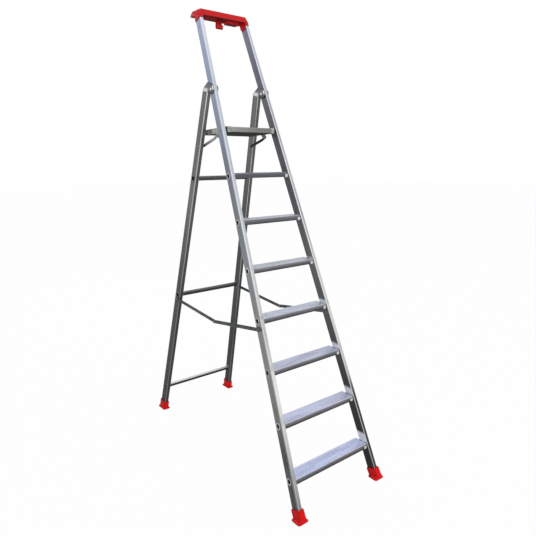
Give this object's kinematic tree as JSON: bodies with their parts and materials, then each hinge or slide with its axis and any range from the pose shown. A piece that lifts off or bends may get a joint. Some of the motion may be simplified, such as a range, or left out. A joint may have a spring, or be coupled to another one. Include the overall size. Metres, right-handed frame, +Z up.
{
  "type": "platform step ladder",
  "caption": "Folding aluminium step ladder with flat treads, a hinged standing platform, a high guard with a tool tray, and a braced rear frame.",
  "frame": {"origin": "on the floor, midway between the climbing frame and the rear frame", "axes": "+X to the right of a person climbing, +Y from the climbing side to the rear frame, +Z up"},
  "size_m": [0.6136, 1.491, 2.528],
  "materials": {
    "mill_aluminium": "satin extruded",
    "deck_aluminium": "satin grooved",
    "cast_aluminium": "as cast",
    "galvanised_steel": "zinc plated",
    "strap_steel": "dull zinc",
    "zinc_fasteners": "bright zinc",
    "red_plastic": "moulded, satin"
  },
  "bodies": {
    "front_frame": {"stile_left": "mill_aluminium", "stile_right": "mill_aluminium", "tread_1": "mill_aluminium", "tread_2": "mill_aluminium", "tread_3": "mill_aluminium", "tread_4": "mill_aluminium", "tread_5": "mill_aluminium", "tread_6": "mill_aluminium", "tread_7": "mill_aluminium", "top_tray": "red_plastic", "tray_rivets": "zinc_fasteners", "foot_front_left": "red_plastic", "foot_front_right": "red_plastic", "hinge_bolts": "zinc_fasteners", "hinge_nuts": "zinc_fasteners", "hinge_spacers": "zinc_fasteners", "platform_pins": "zinc_fasteners", "platform_spacers": "zinc_fasteners", "spreader_rivets_front": "zinc_fasteners", "spreader_spacers_front": "zinc_fasteners"},
    "rear_frame": {"rear_leg_left": "mill_aluminium", "rear_leg_right": "mill_aluminium", "crossbar_lower": "mill_aluminium", "crossbar_middle": "mill_aluminium", "crossbar_upper": "mill_aluminium", "hinge_knuckle_left": "cast_aluminium", "hinge_knuckle_right": "cast_aluminium", "knuckle_rivets": "zinc_fasteners", "foot_rear_left": "red_plastic", "foot_rear_right": "red_plastic", "spreader_rivets_rear": "zinc_fasteners", "spreader_spacers_rear": "zinc_fasteners", "stay_foot_pins": "zinc_fasteners"},
    "platform": {"platform_deck": "deck_aluminium", "platform_rail_left": "cast_aluminium", "platform_rail_right": "cast_aluminium", "deck_rivets": "zinc_fasteners", "stay_head_pins": "zinc_fasteners"},
    "stay_link_left": {"stay_left": "galvanised_steel", "stay_rivet_left": "zinc_fasteners"},
    "front_strap_left": {"spreader_front_left": "strap_steel", "elbow_rivet_outer_left": "zinc_fasteners"},
    "rear_strap_left": {"spreader_rear_left": "strap_steel", "elbow_rivet_inner_left": "zinc_fasteners"},
    "stay_link_right": {"stay_right": "galvanised_steel", "stay_rivet_right": "zinc_fasteners"},
    "front_strap_right": {"spreader_front_right": "strap_steel", "elbow_rivet_outer_right": "zinc_fasteners"},
    "rear_strap_right": {"spreader_rear_right": "strap_steel", "elbow_rivet_inner_right": "zinc_fasteners"}
  },
  "joints": [
    {"name": "rear_fold", "type": "hinge", "parent": "front_frame", "child": "rear_frame", "pos_m": [0, 0.14426, 2.07148], "axis": [-1, 0, 0], "range_deg": [0, 33.45]},
    {"name": "platform_fold", "type": "hinge", "parent": "front_frame", "child": "platform", "pos_m": [0, 0.05187, 1.84726], "axis": [1, 0, 0], "range_deg": [0, 70.7]},
    {"name": "stay_turn_left", "type": "hinge", "parent": "rear_frame", "child": "stay_link_left", "pos_m": [-0.17, 0.27006, 1.76745], "axis": [-1, 0, 0], "range_deg": [0, 42.9]},
    {"name": "front_strap_turn_left", "type": "hinge", "parent": "front_frame", "child": "front_strap_left", "pos_m": [-0.24438, -0.3613, 0.84671], "axis": [-0.999, 0.0166, 0.0404], "range_deg": [0, 84.96]},
    {"name": "rear_strap_turn_left", "type": "hinge", "parent": "rear_frame", "child": "rear_strap_left", "pos_m": [-0.24135, 0.50197, 0.81322], "axis": [0.9992, 0.0095, -0.0398], "range_deg": [0, 100.06]},
    {"name": "stay_turn_right", "type": "hinge", "parent": "rear_frame", "child": "stay_link_right", "pos_m": [0.17, 0.27006, 1.76745], "axis": [-1, 0, 0], "range_deg": [0, 42.9]},
    {"name": "front_strap_turn_right", "type": "hinge", "parent": "front_frame", "child": "front_strap_right", "pos_m": [0.24438, -0.3613, 0.84671], "axis": [-0.999, -0.0166, -0.0404], "range_deg": [0, 84.96]},
    {"name": "rear_strap_turn_right", "type": "hinge", "parent": "rear_frame", "child": "rear_strap_right", "pos_m": [0.24135, 0.50197, 0.81322], "axis": [0.9992, -0.0095, 0.0398], "range_deg": [0, 100.06]}
  ],
  "couplings": [
    {"joint": "platform_fold", "follows": "rear_fold", "ratio": 2.1136},
    {"joint": "stay_turn_left", "follows": "rear_fold", "ratio": 1.2824},
    {"joint": "front_strap_turn_left", "follows": "rear_fold", "ratio": 2.5397},
    {"joint": "rear_strap_turn_left", "follows": "rear_fold", "ratio": 2.9912},
    {"joint": "stay_turn_right", "follows": "rear_fold", "ratio": 1.2824},
    {"joint": "front_strap_turn_right", "follows": "rear_fold", "ratio": 2.5397},
    {"joint": "rear_strap_turn_right", "follows": "rear_fold", "ratio": 2.9912}
  ]
}
